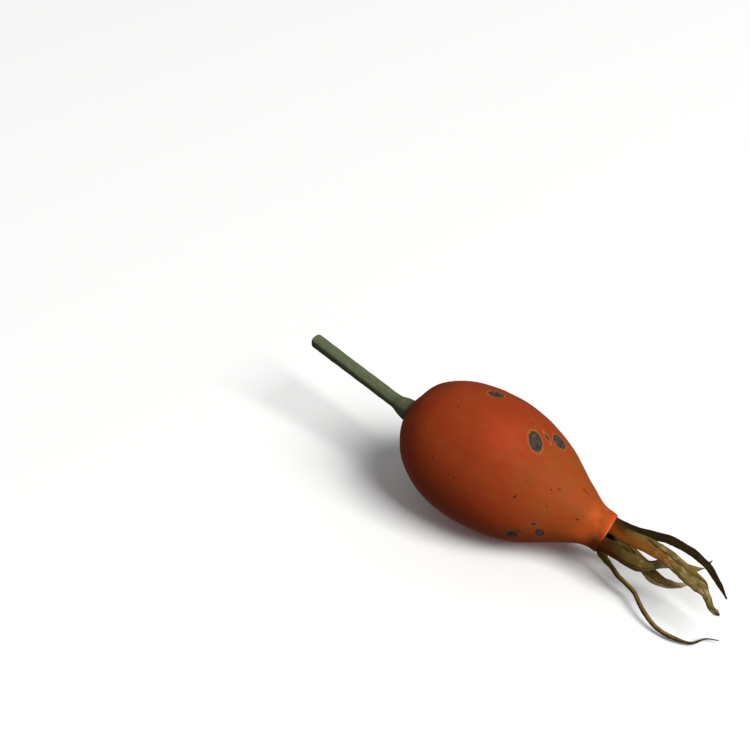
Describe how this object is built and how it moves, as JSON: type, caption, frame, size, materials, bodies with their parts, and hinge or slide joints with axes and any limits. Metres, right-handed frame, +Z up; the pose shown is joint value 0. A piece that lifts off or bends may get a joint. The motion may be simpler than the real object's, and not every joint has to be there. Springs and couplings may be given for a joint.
{
  "type": "rose hip",
  "caption": "Ripe bottle-shaped rose hip lying on its side, with a short cut stem and dried, curling sepals round a dark stamen tuft.",
  "frame": {"origin": "middle of the small flat spot under the belly that the hip rests on", "axes": "+X from the stem towards the sepals, +Z up from the surface, +Y to the left seen along +X"},
  "size_m": [0.0655, 0.0176, 0.0174],
  "materials": {
    "hip_skin": "waxy orange-red skin with grey-brown spots, satin",
    "stem_bark": "matte grey-green stalk",
    "dry_sepal": "matte olive-brown dried leaf",
    "dark_sepal": "matte dark brown dried leaf",
    "dry_stamens": "matte near-black dried stamens"
  },
  "bodies": {
    "root": {"hip": "hip_skin", "stem": "stem_bark", "sepal_long": "dry_sepal", "sepal_bent": "dry_sepal", "sepal_leafy": "dry_sepal", "sepal_arched": "dark_sepal", "sepal_crossed": "dark_sepal", "stamen_tuft": "dry_stamens"}
  },
  "joints": []
}
